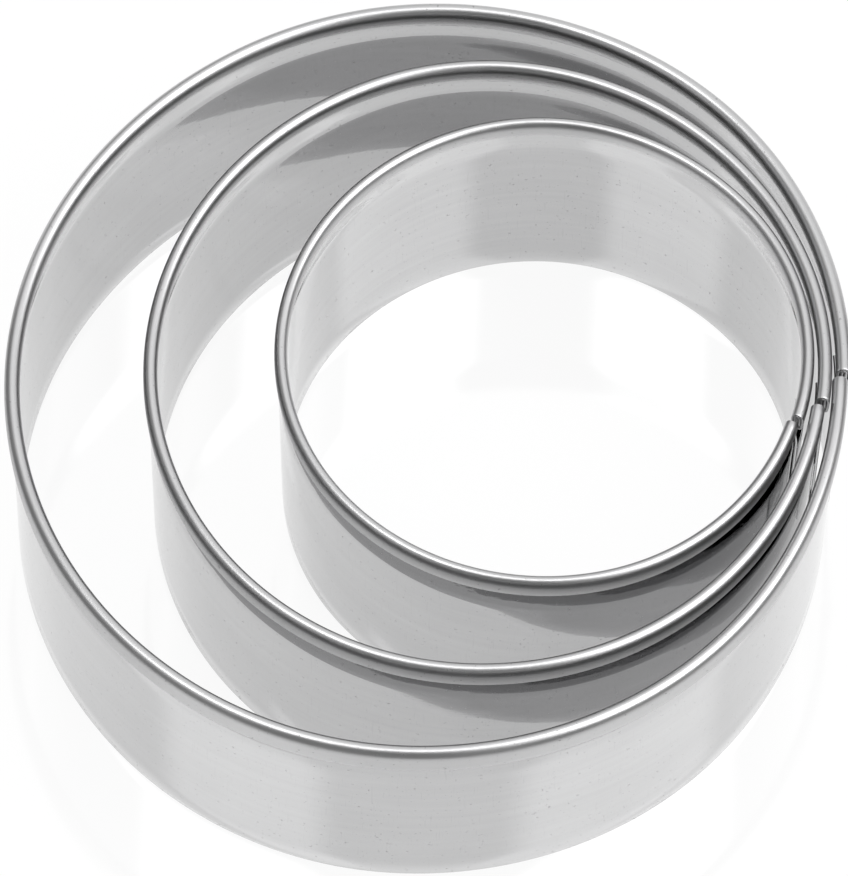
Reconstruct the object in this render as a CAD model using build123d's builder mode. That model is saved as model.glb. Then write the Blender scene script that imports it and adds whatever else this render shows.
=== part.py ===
from build123d import *
import math
import os
from dataclasses import dataclass

# A nested set of three plain round biscuit cutters, standing on one flat surface. Lengths are in
# millimetres. Each cutter is one strip of stainless steel: a plain cutting edge below, a rolled hem above,
# and two ends that lap and are spot-welded. +Z is up, and the origin is the middle of the large cutter's
# footprint.

# Each cutter is named by its cutting diameter, outside the plain wall: 80, 65 and 50. Hand-rolled hoops
# aren't quite round: these are the wall's outside bend radii, one for each twelfth of the turn from the seam.
large_bends = (39.3, 36.2, 41.0, 40.2, 44.1, 38.7, 38.8, 39.5, 39.2, 42.1, 39.2, 43.2)
medium_bends = (30.1, 32.8, 33.0, 31.1, 34.3, 33.1, 32.0, 31.8, 31.4, 33.6, 33.0, 34.1)
small_bends = (23.2, 23.9, 27.0, 25.1, 25.9, 24.8, 24.2, 23.7, 25.6, 26.8, 25.1, 25.4)
cutter_height = 30.0
strip_thickness = 0.3

# The rolled hem: the strip turns outward over a crown, drops as a lip and folds under on a small bend, which
# turns its raw edge in beside the wall. Bends are drawn in short straight facets.
large_hem_width = 1.55
medium_hem_width = 1.4
small_hem_width = 1.3
large_hem_drop = 3.9
medium_hem_drop = 3.3
small_hem_drop = 3.1
tuck_gap = 0.2
crown_facets = 4
crown_hollow_facets = 2
fold_facets = 3
fold_hollow_facets = 1

# The seam: the strip's inner end loses its hem and passes behind the outer end as a plain tab, whose top
# is cut a tab drop below the hem's foot.
lap_length = 4.0
lap_clearance = 0.05
tab_drop = 0.2
hem_split = 0.35
weld_diameter = 1.6
weld_sides = 8
weld_dent_diameter = 2.2
weld_dent_depth = 0.06
weld_height_shares = (0.16, 0.5, 0.84)

# Directions, in degrees anticlockwise from +X: each seam's cut end, and the way that each inner cutter is
# pushed until only its nest clearance is left between it and the next. The small cutter's clearance also
# lets the medium cutter's tab pass its hem when the medium cutter is lifted.
large_seam = 0.6
medium_seam = -6.4
small_seam = -16.0
medium_push = 14.4
small_push = 17.8
medium_nest_clearance = 0.06
small_nest_clearance = 0.26

half_turn = 180
full_turn = 360
quarter_turn = full_turn / 4
bend_count = len(large_bends)
bend_turn = full_turn / bend_count
lap_step = strip_thickness + lap_clearance
nest_samples = 720
nest_halvings = 30


def along(angle):
    return math.cos(math.radians(angle)), math.sin(math.radians(angle))


@dataclass
class Cutter:
    bends: tuple
    hem_width: float
    hem_drop: float
    seam: float
    x: float = 0.0
    y: float = 0.0

    def tab_height(self):
        return cutter_height - self.hem_drop - tab_drop

    def closing(self):
        """Where the last quarter turn starts, which winds inward to pass behind the cut end."""
        return self.seam + full_turn - quarter_turn

    def turn(self, length):
        return math.degrees(length * bend_count / sum(self.bends))

    def bend(self, angle):
        """Which bend that angle falls in, counted on from the cut end, and the bend's radius."""
        count = int((angle - self.seam) // bend_turn)
        return count, self.bends[count % bend_count]

    def bend_centres(self):
        """The bends' centres. Each bend runs on smoothly from the last, and the hoop's extent is centred."""
        centres = [(0, 0)]
        for count in range(1, bend_count + 1):
            across, up = along(self.seam + count * bend_turn)
            step = self.bends[count - 1] - self.bends[count % bend_count]
            x, y = centres[-1]
            centres.append((x + step * across, y + step * up))
        rim = []
        for k in range(nest_samples):
            angle = self.seam + full_turn * k / nest_samples
            count, radius = self.bend(angle)
            across, up = along(angle)
            x, y = centres[count]
            rim.append((x + radius * across, y + radius * up))
        middle_x = (min(x for x, y in rim) + max(x for x, y in rim)) / 2
        middle_y = (min(y for x, y in rim) + max(y for x, y in rim)) / 2
        return [(x - middle_x, y - middle_y) for x, y in centres]

    def __post_init__(self):
        self.centres = self.bend_centres()

    def arc(self, angle):
        """Centre and radius of the wall's outer face at that angle, counted on from the cut end."""
        count, radius = self.bend(angle)
        x, y = self.centres[count]
        if angle > self.closing():
            across, up = along(self.closing())
            return self.x + x + lap_step * across, self.y + y + lap_step * up, radius - lap_step
        return self.x + x, self.y + y, radius

    def spans(self, start, end):
        """The stretch from start to end, cut where one bend hands over to the next."""
        joins = [self.seam + count * bend_turn for count in range(bend_count + 1)]
        stops = [start] + [join for join in joins if start < join < end] + [end]
        return list(zip(stops, stops[1:]))


def gap_between(outer, inner):
    """Least gap from the inner cutter's hem to the outer cutter's wall, and to its tab where they meet."""
    least = max(outer.bends)
    for k in range(nest_samples):
        angle = inner.seam + full_turn * k / nest_samples
        x, y, radius = inner.arc(angle)
        across, up = along(angle)
        reach = radius - strip_thickness + inner.hem_width
        rim_x, rim_y = x + reach * across, y + reach * up
        facing = math.degrees(math.atan2(rim_y - outer.y, rim_x - outer.x))
        facing = outer.seam + (facing - outer.seam) % full_turn
        behind_cut = facing < outer.seam + outer.turn(lap_length)
        hem_meets_tab = inner.hem_drop > outer.hem_drop + tab_drop
        for layer in [facing, facing + full_turn] if behind_cut and hem_meets_tab else [facing]:
            x, y, radius = outer.arc(layer)
            least = min(least, radius - strip_thickness - math.hypot(rim_x - x, rim_y - y))
    return least


def push_against(outer, inner, direction, clearance):
    """Moves the inner cutter that way until the clearance is left."""
    near, far = 0, max(outer.bends)
    across, up = along(direction)
    for _ in range(nest_halvings):
        reach = (near + far) / 2
        inner.x, inner.y = outer.x + reach * across, outer.y + reach * up
        if gap_between(outer, inner) > clearance:
            near = reach
        else:
            far = reach


def round_points(middle, radius, start, turn, facets):
    """The corners of a bend drawn in short straight facets, from a starting angle and turning on."""
    points = []
    for count in range(facets + 1):
        across, up = along(start + turn * count / facets)
        points.append((middle[0] + radius * across, middle[1] + radius * up))
    return points


def hemmed_section(plane, outer_face, cutter):
    """The strip with its rolled hem, cut across: X runs out from the arc's centre and Y up."""
    inner_face = outer_face - strip_thickness
    lip_face = inner_face + cutter.hem_width
    crown = cutter.hem_width / 2
    crown_middle = (inner_face + crown, cutter_height - crown)
    fold = (lip_face - outer_face - tuck_gap) / 2
    fold_middle = (lip_face - fold, cutter_height - cutter.hem_drop + fold)
    hollow_crown = crown - strip_thickness
    hollow_fold = fold - strip_thickness
    corners = [(inner_face, 0)]
    corners += round_points(crown_middle, crown, half_turn, -half_turn, crown_facets)
    corners += round_points(fold_middle, fold, 0, -half_turn, fold_facets)
    corners += round_points(fold_middle, hollow_fold, half_turn, half_turn, fold_hollow_facets)
    corners += round_points(crown_middle, hollow_crown, 0, half_turn, crown_hollow_facets)
    corners += [(outer_face, 0)]
    with BuildSketch(plane) as section:
        with BuildLine():
            Polyline(*corners, close=True)
        make_face()
    return section.sketch


def plain_section(plane, outer_face, cutter):
    """The tab, cut across: the plain wall up to where the hem has been cut away."""
    with BuildSketch(plane) as section:
        with Locations((outer_face, 0)):
            Rectangle(strip_thickness, cutter.tab_height(), align=(Align.MAX, Align.MIN))
    return section.sketch


def wind(cutter, section, start, end):
    """Winds a section round the cutter from one angle to another, arc by arc."""
    for first, last in cutter.spans(start, end):
        x, y, radius = cutter.arc((first + last) / 2)
        across, up = along(first)
        plane = Plane(origin=(x, y, 0), x_dir=(across, up, 0), z_dir=(up, -across, 0))
        revolve(section(plane, radius, cutter), axis=Axis((x, y, 0), (0, 0, 1)), revolution_arc=last - first)


def weld_spots(cutter, depth, diameter):
    """A row of spots up the middle of the lap, facing out, at a depth behind the wall's outer face."""
    angle = cutter.seam + cutter.turn(lap_length) / 2
    x, y, radius = cutter.arc(angle)
    across, up = along(angle)
    place = (x + (radius - depth) * across, y + (radius - depth) * up, 0)
    heights = [share * cutter.tab_height() for share in weld_height_shares]
    with BuildSketch(Plane(origin=place, x_dir=(-up, across, 0), z_dir=(across, up, 0))) as spots:
        with Locations(*[(0, height) for height in heights]):
            RegularPolygon(diameter / 2, weld_sides)
    return spots.sketch


def roll_cutter(cutter):
    """One strip: its hemmed turn, its plain tab, and the welds that close the lap."""
    hem_end = cutter.seam + full_turn - cutter.turn(hem_split)
    wind(cutter, hemmed_section, cutter.seam, hem_end)
    wind(cutter, plain_section, hem_end, cutter.seam + full_turn + cutter.turn(lap_length))
    extrude(weld_spots(cutter, strip_thickness / 2, weld_diameter), amount=-lap_step)
    outside = weld_spots(cutter, weld_dent_depth, weld_dent_diameter)
    extrude(outside, amount=strip_thickness, mode=Mode.SUBTRACT)
    inside = weld_spots(cutter, lap_step + strip_thickness - weld_dent_depth, weld_dent_diameter)
    extrude(inside, amount=-strip_thickness, mode=Mode.SUBTRACT)


large = Cutter(large_bends, large_hem_width, large_hem_drop, large_seam)
medium = Cutter(medium_bends, medium_hem_width, medium_hem_drop, medium_seam)
small = Cutter(small_bends, small_hem_width, small_hem_drop, small_seam)
push_against(large, medium, medium_push, medium_nest_clearance)
push_against(medium, small, small_push, small_nest_clearance)

with BuildPart() as large_cutter:
    roll_cutter(large)

with BuildPart() as medium_cutter:
    roll_cutter(medium)

with BuildPart() as small_cutter:
    roll_cutter(small)

large_cutter.part.label = "large_cutter"
medium_cutter.part.label = "medium_cutter"
small_cutter.part.label = "small_cutter"

os.makedirs("parts", exist_ok=True)
export_step(large_cutter.part, "parts/large_cutter.step")
export_step(medium_cutter.part, "parts/medium_cutter.step")
export_step(small_cutter.part, "parts/small_cutter.step")

print("medium cutter's middle", round(medium.x, 3), round(medium.y, 3))
print("small cutter's middle", round(small.x, 3), round(small.y, 3))
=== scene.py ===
import bmesh
import bpy
import math
from mathutils import Matrix, Vector


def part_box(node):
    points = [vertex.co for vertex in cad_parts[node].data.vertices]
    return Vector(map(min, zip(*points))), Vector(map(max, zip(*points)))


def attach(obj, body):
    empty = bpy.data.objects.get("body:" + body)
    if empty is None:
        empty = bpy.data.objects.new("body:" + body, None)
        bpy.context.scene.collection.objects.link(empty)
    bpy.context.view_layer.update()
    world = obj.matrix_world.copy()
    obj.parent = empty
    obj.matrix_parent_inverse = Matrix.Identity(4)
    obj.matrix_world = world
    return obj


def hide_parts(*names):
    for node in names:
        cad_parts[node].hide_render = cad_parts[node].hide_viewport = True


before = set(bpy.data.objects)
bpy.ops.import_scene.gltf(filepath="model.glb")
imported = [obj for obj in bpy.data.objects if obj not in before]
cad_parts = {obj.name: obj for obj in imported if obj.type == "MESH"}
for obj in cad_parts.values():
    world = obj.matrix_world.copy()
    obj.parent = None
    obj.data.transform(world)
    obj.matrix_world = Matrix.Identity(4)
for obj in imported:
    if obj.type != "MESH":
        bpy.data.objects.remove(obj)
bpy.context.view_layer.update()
print("frame loaded")

# each cutter is one strip of stainless steel; lengths in metres, angles in degrees
strip = {
    "thickness": 0.0003,
    "lapLength": 0.004,
    "lapClearance": 0.00005,
    "tabDrop": 0.0002,
    "hemSplit": 0.00035,
    "leafRise": 0.0004,
    "curlSteps": 6,
    "lipDraw": 0.00012,        # how far the lip draws in towards its foot
    "edgeBevel": 0.00005,
    "bevelSegments": 2,
    "bevelFrom": 60,           # corners sharper than this are broken
    "smoothUpTo": 35,
    "mergeGap": 0.0000003,
    "levelSlack": 0.00003,
    "turnSlack": 0.01,
    "turnStep": 1.25,
    "lapTurnStep": 0.4,
    "bendRow": 0.0003,
    "crownSteps": 24,
    "lipSteps": 8,
    "foldSteps": 10,
    # the wall's lean at each height: out to a shallow belly, then in to a neck behind the hem
    "leans": ((0, 1.3), (0.0225, 1.3), (0.0255, -8), (0.0275, -8), (0.0287, 0)),
    "leanSteps": 60,
}
lapStep = strip["thickness"] + strip["lapClearance"]

# spot welds up the middle of the lap, each a shallow pressed spot on both faces
weld = {
    "heightShares": (0.16, 0.5, 0.84),
    "radius": 0.0011,
    "flatRadius": 0.0006,
    "depth": 0.00004,
    "rowStep": 0.00024,
    "rowsEachSide": 5,
}

# hand-rolled hoops aren't quite round: twelve bend radii each, counted anticlockwise from the seam
cutters = {
    "large_cutter": {"bends": (0.0393, 0.0362, 0.0410, 0.0402, 0.0441, 0.0387,
                               0.0388, 0.0395, 0.0392, 0.0421, 0.0392, 0.0432),
                     "hemWidth": 0.00155, "hemDrop": 0.0039, "crownRise": 0.0012, "seam": 0.6},
    "medium_cutter": {"bends": (0.0301, 0.0328, 0.0330, 0.0311, 0.0343, 0.0331,
                                0.0320, 0.0318, 0.0314, 0.0336, 0.0330, 0.0341),
                      "hemWidth": 0.0014, "hemDrop": 0.0033, "crownRise": 0.0011, "seam": -6.4},
    "small_cutter": {"bends": (0.0232, 0.0239, 0.0270, 0.0251, 0.0259, 0.0248,
                               0.0242, 0.0237, 0.0256, 0.0268, 0.0251, 0.0254),
                     "hemWidth": 0.0013, "hemDrop": 0.0031, "crownRise": 0.0011, "seam": -16.0},
}
bendCount = 12
bendTurn = 360 / bendCount
closingTurn = 270              # from here on the strip winds inward, to pass behind its own cut end
rimSamples = 720


def along(angle):
    return Vector((math.cos(math.radians(angle)), math.sin(math.radians(angle)), 0))


def deselectAll():
    if bpy.context.object and bpy.context.object.mode == "EDIT":
        bpy.ops.object.mode_set(mode="OBJECT")
    bpy.ops.object.select_all(action="DESELECT")


def applyModifier(obj, kind, **settings):
    modifier = obj.modifiers.new(kind.title(), kind)
    for name, value in settings.items():
        setattr(modifier, name, value)
    bpy.ops.object.modifier_apply(modifier=modifier.name)


def smoothShare(value, low, high):
    share = min(max((value - low) / (high - low), 0), 1)
    return share * share * (3 - 2 * share)


def bendAt(cutter, angle):
    count = int((angle - cutter["seam"]) // bendTurn)
    return count, cutter["bends"][count % bendCount]


# each bend runs on smoothly from the last, and the hoop's extent is centred on the middle
def placeBends(cutter, middle):
    centres = [Vector((0, 0, 0))]
    for count in range(1, bendCount + 1):
        step = cutter["bends"][count - 1] - cutter["bends"][count % bendCount]
        centres.append(centres[-1] + along(cutter["seam"] + bendTurn * count) * step)
    rim = []
    for k in range(rimSamples):
        angle = cutter["seam"] + 360 * k / rimSamples
        count, radius = bendAt(cutter, angle)
        rim.append(centres[count] + along(angle) * radius)
    extent = Vector([(min(p[i] for p in rim) + max(p[i] for p in rim)) / 2 for i in range(3)])
    cutter["centres"] = [centre - extent + middle for centre in centres]
    mean = sum(cutter["bends"]) / bendCount
    cutter["lapTurn"] = math.degrees(strip["lapLength"] / mean)
    cutter["splitTurn"] = math.degrees(strip["hemSplit"] / mean)


# centre and radius of the wall's outer face at an angle
def arcAt(cutter, angle):
    count, radius = bendAt(cutter, angle)
    centre = cutter["centres"][count]
    closing = cutter["seam"] + closingTurn
    if angle > closing:
        return centre + along(closing) * lapStep, radius - lapStep
    return centre, radius


def spansOf(cutter, start, end):
    joins = [cutter["seam"] + bendTurn * k for k in range(bendCount + 1)]
    joins = sorted(joins + [cutter["seam"] + cutter["lapTurn"]])
    stops = [start] + [j for j in joins if start < j < end] + [end]
    return list(zip(stops, stops[1:]))


def leanAt(height):
    for (low, first), (high, last) in zip(strip["leans"], strip["leans"][1:]):
        if height < high:
            return first + (last - first) * smoothShare(height, low, high)
    return strip["leans"][-1][1]


# how far the wall stands out at a height, measured from where it meets the crown
def wallOffset(level, top):
    rise = (top - level) / strip["leanSteps"]
    leans = [leanAt(level + rise * (k + 0.5)) for k in range(strip["leanSteps"])]
    return -sum(math.tan(math.radians(lean)) * rise for lean in leans)


# levels from start to end, about a step apart, without the start
def evenly(start, end, step):
    count = max(1, round((end - start) / step))
    return [start + (end - start) * (k + 1) / count for k in range(count)]


# the strip's middle line as (out, up) points: up the wall, over the crown, down the lip, under the fold
# and up again, with its end curled down inside
def sectionPoints(cutter, height):
    thickness = strip["thickness"]
    crown = (cutter["hemWidth"] - thickness) / 2
    rise = cutter["crownRise"] - thickness / 2
    gap = (2 * crown - 3 * thickness) / 3      # the two layers inside share the room left by wall and lip
    foot = 2 * crown - strip["lipDraw"]
    leaf = thickness + gap
    fold = (foot - leaf) / 2
    curl = (2 * crown - thickness - gap - leaf) / 2
    crownLevel = height - cutter["crownRise"]
    foldLevel = height - cutter["hemDrop"] + fold + thickness / 2
    leafTop = crownLevel + strip["leafRise"]
    tabTop = height - cutter["hemDrop"] - strip["tabDrop"]
    reach = range(-weld["rowsEachSide"], weld["rowsEachSide"] + 1)
    levels = [0] + [share * tabTop + k * weld["rowStep"] for share in weld["heightShares"] for k in reach]
    levels += evenly(levels[-1], tabTop, strip["bendRow"])
    levels += evenly(tabTop, crownLevel, strip["bendRow"])
    points = [(wallOffset(level, crownLevel), level) for level in levels]
    for k in range(1, strip["crownSteps"] + 1):
        turn = math.pi * (1 - k / strip["crownSteps"])
        points.append((crown + crown * math.cos(turn), crownLevel + rise * math.sin(turn)))
    lipStep = (crownLevel - foldLevel) / strip["lipSteps"]
    for k in range(1, strip["lipSteps"] + 1):
        draw = strip["lipDraw"] * (k / strip["lipSteps"]) ** 2
        points.append((2 * crown - draw, crownLevel - lipStep * k))
    for k in range(1, strip["foldSteps"] + 1):
        turn = -math.pi * k / strip["foldSteps"]
        points.append((foot - fold + fold * math.cos(turn), foldLevel + fold * math.sin(turn)))
    for k in range(strip["curlSteps"] + 1):
        turn = math.pi * (1 - k / strip["curlSteps"])
        points.append((leaf + curl + curl * math.cos(turn), leafTop + curl * math.sin(turn)))
    points.append((leaf + 2 * curl, foldLevel + thickness))
    return points, tabTop, crownLevel


# draws the section at the seam and marks how far across the strip each point lies
def drawSection(cutter, points):
    centre, radius = arcAt(cutter, cutter["seam"] + 1)
    wall = centre + along(cutter["seam"]) * (radius - strip["thickness"] / 2)
    places = [wall + along(cutter["seam"]) * aside + Vector((0, 0, level)) for aside, level in points]
    bpy.ops.mesh.primitive_plane_add(size=strip["thickness"], location=(0, 0, 0))
    bpy.ops.object.mode_set(mode="EDIT")
    bpy.ops.mesh.select_all(action="SELECT")
    bpy.ops.mesh.merge(type="CENTER")
    bpy.ops.transform.translate(value=places[0])
    for last, place in zip(places, places[1:]):
        bpy.ops.mesh.extrude_region_move(TRANSFORM_OT_translate={"value": place - last})
    obj = bpy.context.active_object
    mesh = bmesh.from_edit_mesh(obj.data)
    across = mesh.verts.layers.float.new("acrossStrip")
    length, last = 0, places[0]
    mesh.verts.ensure_lookup_table()
    for vert in mesh.verts:
        length += (vert.co - last).length
        vert[across], last = length, vert.co
    bmesh.update_edit_mesh(obj.data)
    return obj


# bpy's spin turns clockwise, so the angle is given with a minus
def windTo(cutter, start, end):
    for first, last in spansOf(cutter, start, end):
        centre, radius = arcAt(cutter, (first + last) / 2)
        outerLap = last <= cutter["seam"] + cutter["lapTurn"] + strip["turnSlack"]
        innerLap = first >= cutter["seam"] + 360 - strip["turnSlack"]
        step = strip["lapTurnStep"] if outerLap or innerLap else strip["turnStep"]
        bpy.ops.mesh.spin(steps=max(1, round((last - first) / step)), dupli=False,
                          angle=-math.radians(last - first), center=centre, axis=(0, 0, 1))


def selectBelow(obj, level):
    mesh = bmesh.from_edit_mesh(obj.data)
    for vert in mesh.verts:
        if vert.select and vert.co.z > level:
            vert.select = False
    mesh.select_flush_mode()
    bmesh.update_edit_mesh(obj.data)


# presses each weld spot into the outer layer from outside and into the tab from inside
def pressWelds(obj, cutter, tabTop, crownLevel):
    mesh = bmesh.from_edit_mesh(obj.data)
    middle = cutter["seam"] + cutter["lapTurn"] / 2
    out = along(middle)
    for angle, way in ((middle, -1), (middle + 360, 1)):
        centre, radius = arcAt(cutter, angle)
        for heightShare in weld["heightShares"]:
            level = heightShare * tabTop
            aside = radius - strip["thickness"] / 2 + wallOffset(level, crownLevel)
            spot = centre + out * aside + Vector((0, 0, level))
            for vert in mesh.verts:
                away = vert.co - spot
                depth = away.dot(out)
                if away.length < weld["radius"] and abs(depth) < lapStep / 2:
                    gap = (away - out * depth).length
                    share = 1 - smoothShare(gap, weld["flatRadius"], weld["radius"])
                    vert.co += out * way * weld["depth"] * share
    bmesh.update_edit_mesh(obj.data)


def rollCutter(name):
    cutter = cutters[name]
    low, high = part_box(name)
    placeBends(cutter, Vector(((low.x + high.x) / 2, (low.y + high.y) / 2, 0)))
    points, tabTop, crownLevel = sectionPoints(cutter, high.z)
    deselectAll()
    obj = drawSection(cutter, points)
    bpy.ops.mesh.select_all(action="SELECT")
    hemEnd = cutter["seam"] + 360 - cutter["splitTurn"]
    windTo(cutter, cutter["seam"], hemEnd)
    selectBelow(obj, tabTop + strip["levelSlack"])
    windTo(cutter, hemEnd, cutter["seam"] + 360 + cutter["lapTurn"])
    bpy.ops.mesh.select_all(action="SELECT")
    bpy.ops.mesh.remove_doubles(threshold=strip["mergeGap"])
    bpy.ops.mesh.normals_make_consistent(inside=False)
    pressWelds(obj, cutter, tabTop, crownLevel)
    bpy.ops.object.mode_set(mode="OBJECT")
    applyModifier(obj, "SOLIDIFY", thickness=strip["thickness"], offset=0, use_even_offset=True)
    applyModifier(obj, "BEVEL", width=strip["edgeBevel"], segments=strip["bevelSegments"],
                  limit_method="ANGLE", angle_limit=math.radians(strip["bevelFrom"]))
    bpy.ops.object.mode_set(mode="EDIT")
    bpy.ops.mesh.select_all(action="SELECT")
    bpy.ops.mesh.normals_make_consistent(inside=False)
    bpy.ops.object.mode_set(mode="OBJECT")
    bpy.ops.object.transform_apply(location=True, rotation=True, scale=True)
    bpy.ops.object.shade_smooth_by_angle(angle=math.radians(strip["smoothUpTo"]))
    obj.name = name.replace("_cutter", "_ring")
    print(obj.name, len(obj.data.polygons), "faces")
    return obj


# shader maths written as plain expressions
class Signal:
    def __init__(self, tree, socket):
        self.tree, self.socket = tree, socket

    def maths(self, operation, *values):
        made = self.tree.nodes.new("ShaderNodeMath")
        made.operation = operation
        for slot, value in enumerate(values):
            if isinstance(value, Signal):
                self.tree.links.new(value.socket, made.inputs[slot])
            else:
                made.inputs[slot].default_value = value
        return Signal(self.tree, made.outputs[0])

    def __add__(self, other):
        return self.maths("ADD", self, other)

    def __radd__(self, other):
        return self.maths("ADD", other, self)

    def __sub__(self, other):
        return self.maths("SUBTRACT", self, other)

    def __rsub__(self, other):
        return self.maths("SUBTRACT", other, self)

    def __mul__(self, other):
        return self.maths("MULTIPLY", self, other)

    def __abs__(self):
        return self.maths("ABSOLUTE", self)


class Finish:
    def __init__(self, owner):
        owner.use_nodes = True
        self.tree = owner.node_tree
        self.tree.nodes.clear()

    def node(self, kind, settings=None, inputs=None):
        made = self.tree.nodes.new("ShaderNode" + kind)
        for name, value in (settings or {}).items():
            setattr(made, name, value)
        for name, value in (inputs or {}).items():
            if isinstance(value, Signal):
                self.tree.links.new(value.socket, made.inputs[name])
            else:
                made.inputs[name].default_value = value
        return made

    def signal(self, made, output=0):
        return Signal(self.tree, made.outputs[output])

    # 0 below the first value and 1 above the second, with a soft step between
    def step(self, value, low, high):
        return self.signal(self.node("MapRange", {"interpolation_type": "SMOOTHSTEP"}, {
            "Value": value, "From Min": low, "From Max": high, "To Min": 0, "To Max": 1}))

    def mix(self, share, first, second):
        return self.node("MixShader", {}, {0: share, 1: self.signal(first), 2: self.signal(second)})


# spreads are per metre: how many grains fit round the hoop and across the strip
stainless = {
    "shade": 0.512,
    "shadeSpread": 0.05,
    "wallRoughness": 0.035,
    "wipeRoughness": 0.05,
    "hemRoughness": 0.36,
    "hemStart": 0.0283,
    "hemFull": 0.0298,
    "waveHeight": 0.000012,
    "waveSpread": (110, 14),
    "rippleHeight": 0.0000028,
    "rippleSpread": (300, 170),
    "rollHeight": 0.0000016,
    "rollSpread": (25, 900),
    "scratchHeight": 0.0000004,
    "scratchSpread": (5200, 260),
    "neckHeight": 0.000013,
    "neckSpread": (650, 900),
    "grainHeight": 0.000006,
    "grainSpread": (1800, 3500),
    "wipeSpread": (90, 160),
    "wipeShows": (0.45, 0.75),
    "speckSpread": 2600,
    "speckShows": (0.70, 0.78),
    "speckRoughness": 0.25,
    "speckShade": 0.15,
    "scratchShows": (0.62, 0.72),
    "scratchShade": 0.02,
    "neckStart": (0.0252, 0.0258),
    "neckEnd": (0.0280, 0.0287),
    "blueTint": 1.008,
    "noiseRoughness": 0.55,
    "speckNoiseRoughness": 0.5,
}


def stainlessFinish():
    material = bpy.data.materials.new("stainless_strip")
    look = Finish(material)
    place = look.signal(look.node("TexCoord"), "Object")
    parts = look.node("SeparateXYZ", {}, {"Vector": place})
    east, north = look.signal(parts, "X"), look.signal(parts, "Y")
    across = look.signal(look.node("Attribute", {"attribute_name": "acrossStrip"}), "Fac")

    def grain(spread, detail, seed=0):
        around, up = stainless[spread]
        way = look.node("CombineXYZ", {}, {"X": east * around, "Y": north * around + seed, "Z": across * up})
        made = look.node("TexNoise", {}, {"Vector": look.signal(way), "Scale": 1, "Detail": detail,
                                          "Roughness": stainless["noiseRoughness"]})
        return look.signal(made)

    hem = look.step(across, stainless["hemStart"], stainless["hemFull"])
    neck = look.step(across, *stainless["neckStart"]) * (1 - look.step(across, *stainless["neckEnd"]))
    wave, roll, scratch = grain("waveSpread", 2), grain("rollSpread", 3), grain("scratchSpread", 2)
    wipe = grain("wipeSpread", 4, 7.5)
    speck = look.signal(look.node("TexNoise", {}, {
        "Vector": place, "Scale": stainless["speckSpread"], "Detail": 1,
        "Roughness": stainless["speckNoiseRoughness"]}))
    specks = look.step(speck, *stainless["speckShows"])
    scratches = look.step(scratch, *stainless["scratchShows"])
    height = (wave * stainless["waveHeight"] + roll * stainless["rollHeight"]
              + grain("rippleSpread", 2, 9.2) * stainless["rippleHeight"]
              + scratches * stainless["scratchHeight"]
              + neck * grain("neckSpread", 2, 3.1) * stainless["neckHeight"]
              + hem * grain("grainSpread", 3, 5.7) * stainless["grainHeight"])
    relief = look.node("Bump", {}, {"Height": height, "Strength": 1, "Distance": 1})
    rough = (stainless["wallRoughness"] + hem * (stainless["hemRoughness"] - stainless["wallRoughness"])
             + look.step(wipe, *stainless["wipeShows"]) * stainless["wipeRoughness"]
             + specks * stainless["speckRoughness"])
    shade = (stainless["shade"] + (roll - 0.5) * stainless["shadeSpread"]
             + (wipe - 0.5) * stainless["shadeSpread"]
             - specks * stainless["speckShade"] - scratches * stainless["scratchShade"])
    colour = look.node("CombineColor", {}, {
        "Red": shade, "Green": shade, "Blue": shade * stainless["blueTint"]})
    surface = look.node("BsdfPrincipled", {}, {
        "Base Color": look.signal(colour), "Metallic": 1, "Roughness": rough, "Normal": look.signal(relief)})
    look.node("OutputMaterial", {}, {"Surface": look.signal(surface)})
    return material


steel = stainlessFinish()
for node in cutters:
    ring = rollCutter(node)
    ring.data.materials.clear()
    ring.data.materials.append(steel)
    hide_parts(node)
    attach(ring, node)
print("cutters rolled")

# the white table, the flag and the lamp; lengths in metres
studio = {
    "floorSize": 3.0,
    "floorShade": 0.75,
    "ownGlow": 0.96,           # share of the floor's white that shadows can't darken
    "mirroredGlow": 0.80,
    "polish": 0.042,
    "polishRoughness": 0.07,
    "room": 0.70,
    "ceiling": 1.2,
    "ceilingEdge": (76, 84),   # its elevation, from and to
    "flagSides": 128,
    "flagRadius": 0.085,
    "flagHeight": 0.04,
    "flagShade": 0.25,
    "flagNorth": 0.035,        # the flag is open to the back beyond this line
    "lampPower": 0.4,
    "lampSize": 0.6,
    "lampHeight": 0.8,
}

# what stands round the table: azimuth from and to, elevation from and to, soft edge, shade
surroundings = {
    "backWall": (30, 150, 8, 88, 30, 1.1),
    "leftFlag": (100, 212, -20, 34, 14, 0.32),
    "cameraFlag": (-120, -58, -20, 74, 7, 0.11),
    "rightSoftbox": (-56, 10, 16, 80, 14, 4.6),
    "leftSoftbox": (-168, -116, 50, 85, 14, 5.0),
}


def makeFloor():
    deselectAll()
    bpy.ops.mesh.primitive_plane_add(size=studio["floorSize"], location=(0, 0, 0))
    floor = bpy.context.active_object
    floor.name = "table_top"
    material = bpy.data.materials.new("white_table")
    look = Finish(material)
    shade = studio["floorShade"]
    matt = look.node("BsdfDiffuse", {}, {"Color": (shade, shade, shade, 1)})
    glow = look.node("Emission", {}, {"Color": (1, 1, 1, 1), "Strength": 1})
    ray = look.node("LightPath")
    mirrored = look.signal(ray, "Is Glossy Ray") + look.signal(ray, "Is Transmission Ray")
    seen = look.signal(ray, "Is Camera Ray") * studio["ownGlow"] + mirrored * studio["mirroredGlow"]
    white = look.mix(seen, matt, glow)
    gloss = look.node("BsdfGlossy", {}, {"Color": (1, 1, 1, 1), "Roughness": studio["polishRoughness"]})
    top = look.mix(studio["polish"], white, gloss)
    look.node("OutputMaterial", {}, {"Surface": look.signal(top)})
    floor.data.materials.append(material)


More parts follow.
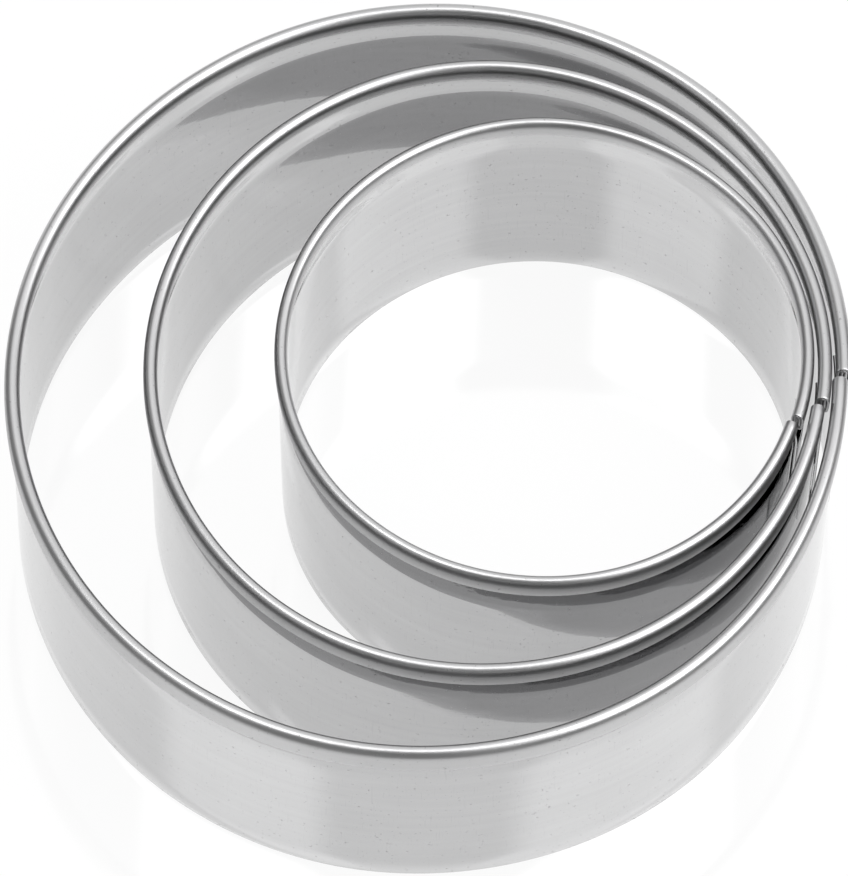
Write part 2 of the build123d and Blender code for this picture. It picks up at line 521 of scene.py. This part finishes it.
# a low grey flag round the front and sides, seen in reflections only, so that the hems read against the table
def makeFlag():
    deselectAll()
    bpy.ops.mesh.primitive_cylinder_add(
        vertices=studio["flagSides"], radius=studio["flagRadius"], depth=studio["flagHeight"],
        end_fill_type="NOTHING", location=(0, 0, studio["flagHeight"] / 2))
    flag = bpy.context.active_object
    flag.name = "grey_flag"
    bpy.ops.object.mode_set(mode="EDIT")
    bpy.ops.mesh.select_all(action="DESELECT")
    mesh = bmesh.from_edit_mesh(flag.data)
    for face in mesh.faces:
        if face.calc_center_median().y > studio["flagNorth"]:
            face.select = True
    bmesh.update_edit_mesh(flag.data)
    bpy.ops.mesh.delete(type="FACE")
    bpy.ops.object.mode_set(mode="OBJECT")
    material = bpy.data.materials.new("grey_flag")
    look = Finish(material)
    glow = look.node("Emission", {}, {"Color": (1, 1, 1, 1), "Strength": studio["flagShade"]})
    look.node("OutputMaterial", {}, {"Surface": look.signal(glow)})
    flag.data.materials.append(material)
    flag.visible_camera = flag.visible_shadow = flag.visible_diffuse = False


def makeRoom():
    world = bpy.data.worlds.new("studio")
    bpy.context.scene.world = world
    look = Finish(world)
    parts = look.node("SeparateXYZ", {}, {"Vector": look.signal(look.node("TexCoord"), "Generated")})
    east, north, rise = (look.signal(parts, axis) for axis in "XYZ")
    elevation = rise.maths("ARCSINE", rise) * math.degrees(1)
    ceiling = look.step(elevation, *studio["ceilingEdge"])
    glow = studio["room"] + ceiling * (studio["ceiling"] - studio["room"])
    for start, end, low, high, edge, shade in surroundings.values():
        facing = along((start + end) / 2)
        ahead = east * facing.x + north * facing.y
        aside = north * facing.x - east * facing.y
        turn = abs(aside.maths("ARCTAN2", aside, ahead)) * math.degrees(1)
        half = (end - start) / 2
        mask = (1 - look.step(turn, half - edge / 2, half + edge / 2)) \
            * look.step(elevation, low - edge / 2, low + edge / 2) \
            * (1 - look.step(elevation, high - edge / 2, high + edge / 2))
        glow = glow + mask * (shade - glow)
    lit = look.node("Background", {}, {"Color": (1, 1, 1, 1), "Strength": glow})
    white = look.node("Background", {}, {"Color": (1, 1, 1, 1), "Strength": 1})
    seen = look.signal(look.node("LightPath"), "Is Camera Ray")
    look.node("OutputWorld", {}, {"Surface": look.signal(look.mix(seen, lit, white))})


def makeLamp():
    lamp = bpy.data.lights.new("overhead_softbox", "AREA")
    lamp.energy, lamp.size = studio["lampPower"], studio["lampSize"]
    obj = bpy.data.objects.new("overhead_softbox", lamp)
    obj.location = (0, 0, studio["lampHeight"])
    bpy.context.scene.collection.objects.link(obj)


makeFloor()
makeFlag()
makeRoom()
makeLamp()
print("studio set")

# the photograph is 848 by 876 pixels; the lens and place come from where the three rings stand in it
camera = {
    "pictureWidth": 848,
    "elevation": 64.10,
    "roll": 1.86,
    "distance": 1.7241,
    "pixelsPerMetre": 10222,   # at the large cutter's rim
    "rimAcross": 428.20,       # where the middle of that rim lands, in pixels
    "rimDown": 374.40,
    "axisAcross": 424,
    "axisDown": 438,
    "sensor": 36,
}


def makeCamera():
    data = bpy.data.cameras.new("camera")
    data.sensor_fit, data.sensor_width = "HORIZONTAL", camera["sensor"]
    data.lens = camera["pixelsPerMetre"] * camera["distance"] * camera["sensor"] / camera["pictureWidth"]
    obj = bpy.data.objects.new("camera", data)
    bpy.context.scene.collection.objects.link(obj)
    tilt, roll = math.radians(camera["elevation"]), math.radians(camera["roll"])
    back = Vector((0, -math.cos(tilt), math.sin(tilt)))
    level, upright = Vector((1, 0, 0)), Vector((0, math.sin(tilt), math.cos(tilt)))
    right = level * math.cos(roll) + upright * math.sin(roll)
    up = upright * math.cos(roll) - level * math.sin(roll)
    rim = Vector((0, 0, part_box("large_cutter")[1].z))
    aside = (camera["rimAcross"] - camera["axisAcross"]) / camera["pixelsPerMetre"]
    above = (camera["axisDown"] - camera["rimDown"]) / camera["pixelsPerMetre"]
    place = rim + back * camera["distance"] - right * aside - up * above
    obj.matrix_world = Matrix((
        (right.x, up.x, back.x, place.x),
        (right.y, up.y, back.y, place.y),
        (right.z, up.z, back.z, place.z),
        (0, 0, 0, 1)))
    bpy.context.scene.camera = obj


makeCamera()
bpy.context.scene.view_settings.view_transform = "Standard"
print("camera placed")
